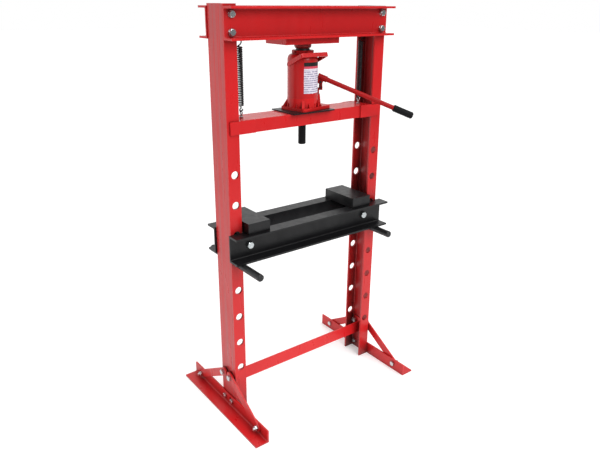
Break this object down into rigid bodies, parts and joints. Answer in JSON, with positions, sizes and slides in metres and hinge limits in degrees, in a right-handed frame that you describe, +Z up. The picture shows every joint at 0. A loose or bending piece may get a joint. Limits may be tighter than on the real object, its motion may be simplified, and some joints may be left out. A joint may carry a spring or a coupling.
{
  "type": "hydraulic shop press",
  "caption": "H-frame shop press: channel uprights with pin holes, bottle jack on a spring-returned ram beam, pinned bed with arbor plates, braced angle feet.",
  "frame": {"origin": "on the floor, midway between the uprights and midway along the feet", "axes": "+Z up, +X to the operator's right along the beams, -Y towards the operator"},
  "size_m": [0.802, 0.546, 1.49],
  "materials": {
    "red_paint": "gloss",
    "black_paint": "satin",
    "zinc": "satin",
    "bare_steel": "satin",
    "dark_steel": "black oxide",
    "spring_steel": "satin",
    "grip_rubber": "matt",
    "label": "satin"
  },
  "bodies": {
    "frame": {"left_upright": "red_paint", "right_upright": "red_paint", "top_beam_front": "red_paint", "top_beam_rear": "red_paint", "thrust_plate": "red_paint", "beam_bolts": "zinc", "beam_washers": "zinc", "beam_nuts": "zinc", "spring_hangers": "red_paint", "left_foot": "red_paint", "right_foot": "red_paint", "left_front_brace": "red_paint", "left_rear_brace": "red_paint", "right_front_brace": "red_paint", "right_rear_brace": "red_paint", "brace_spacers": "red_paint", "brace_bolts": "zinc", "brace_nuts": "zinc", "foot_bolts": "zinc", "foot_nuts": "zinc", "cross_bar": "red_paint", "cross_bar_plates": "red_paint", "jack_ram": "bare_steel", "saddle_screw": "bare_steel", "saddle": "red_paint", "left_spring": "spring_steel", "right_spring": "spring_steel"},
    "ram_carriage": {"ram_beam": "red_paint", "guide_plates": "red_paint", "pin_socket": "red_paint", "press_pin": "dark_steel", "pin_set_screw": "zinc", "jack_plate": "black_paint", "jack_base": "red_paint", "jack_tank": "red_paint", "pressure_cylinder": "bare_steel", "gland_nut": "red_paint", "carry_handle": "red_paint", "filler_plug": "grip_rubber", "jack_label": "label", "pump_barrel": "red_paint", "pump_link": "bare_steel", "link_pins": "zinc", "eye_bolts": "zinc", "eye_nuts": "zinc"},
    "plunger": {"pump_plunger": "bare_steel", "plunger_pin": "zinc"},
    "lever": {"pump_lever": "red_paint"},
    "handle": {"handle_tube": "red_paint", "handle_grip": "grip_rubber"},
    "valve": {"release_valve": "zinc"},
    "bed": {"bed_channel_front": "black_paint", "bed_channel_rear": "black_paint", "bed_spacers": "black_paint", "bed_bolts": "zinc", "bed_nuts": "zinc"},
    "left_pin": {"left_bed_pin": "dark_steel"},
    "right_pin": {"right_bed_pin": "dark_steel"},
    "left_block": {"left_arbor_plate": "black_paint"},
    "right_block": {"right_arbor_plate": "black_paint"}
  },
  "joints": [
    {"name": "press_stroke", "type": "slide", "parent": "frame", "child": "ram_carriage", "axis": [0, 0, -1], "range_m": [0, 0.15], "stiffness_N_per_m": 2000, "springref_m": -0.13, "deforming": ["left_spring", "right_spring"]},
    {"name": "pump_lever", "type": "hinge", "parent": "ram_carriage", "child": "lever", "pos_m": [0.08403, 0.0005, 1.22264], "axis": [-0.6428, -0.766, 0], "range_deg": [0, 45]},
    {"name": "plunger_slide", "type": "slide", "parent": "ram_carriage", "child": "plunger", "axis": [0, 0, 1], "range_m": [-0.0168, 0.0002]},
    {"name": "handle_pull", "type": "slide", "parent": "lever", "child": "handle", "axis": [0.7118, -0.5972, -0.3697], "range_m": [0, 0.03]},
    {"name": "release_valve", "type": "hinge", "parent": "ram_carriage", "child": "valve", "pos_m": [0.05361, 0.04913, 1.1525], "axis": [0.9816, 0.1908, 0], "range_deg": [0, 180]},
    {"name": "bed_lift", "type": "slide", "parent": "frame", "child": "bed", "axis": [0, 0, 1], "range_m": [0, 0.07]},
    {"name": "left_bed_pin_pull", "type": "slide", "parent": "frame", "child": "left_pin", "axis": [0, -1, 0], "range_m": [0, 0.1]},
    {"name": "right_bed_pin_pull", "type": "slide", "parent": "frame", "child": "right_pin", "axis": [0, -1, 0], "range_m": [0, 0.1]},
    {"name": "left_plate_slide", "type": "slide", "parent": "bed", "child": "left_block", "axis": [1, 0, 0], "range_m": [0, 0.14]},
    {"name": "right_plate_slide", "type": "slide", "parent": "bed", "child": "right_block", "axis": [-1, 0, 0], "range_m": [0, 0.14]}
  ],
  "couplings": [
    {"joint": "plunger_slide", "follows": "pump_lever", "m_per_rad": -0.02097}
  ]
}
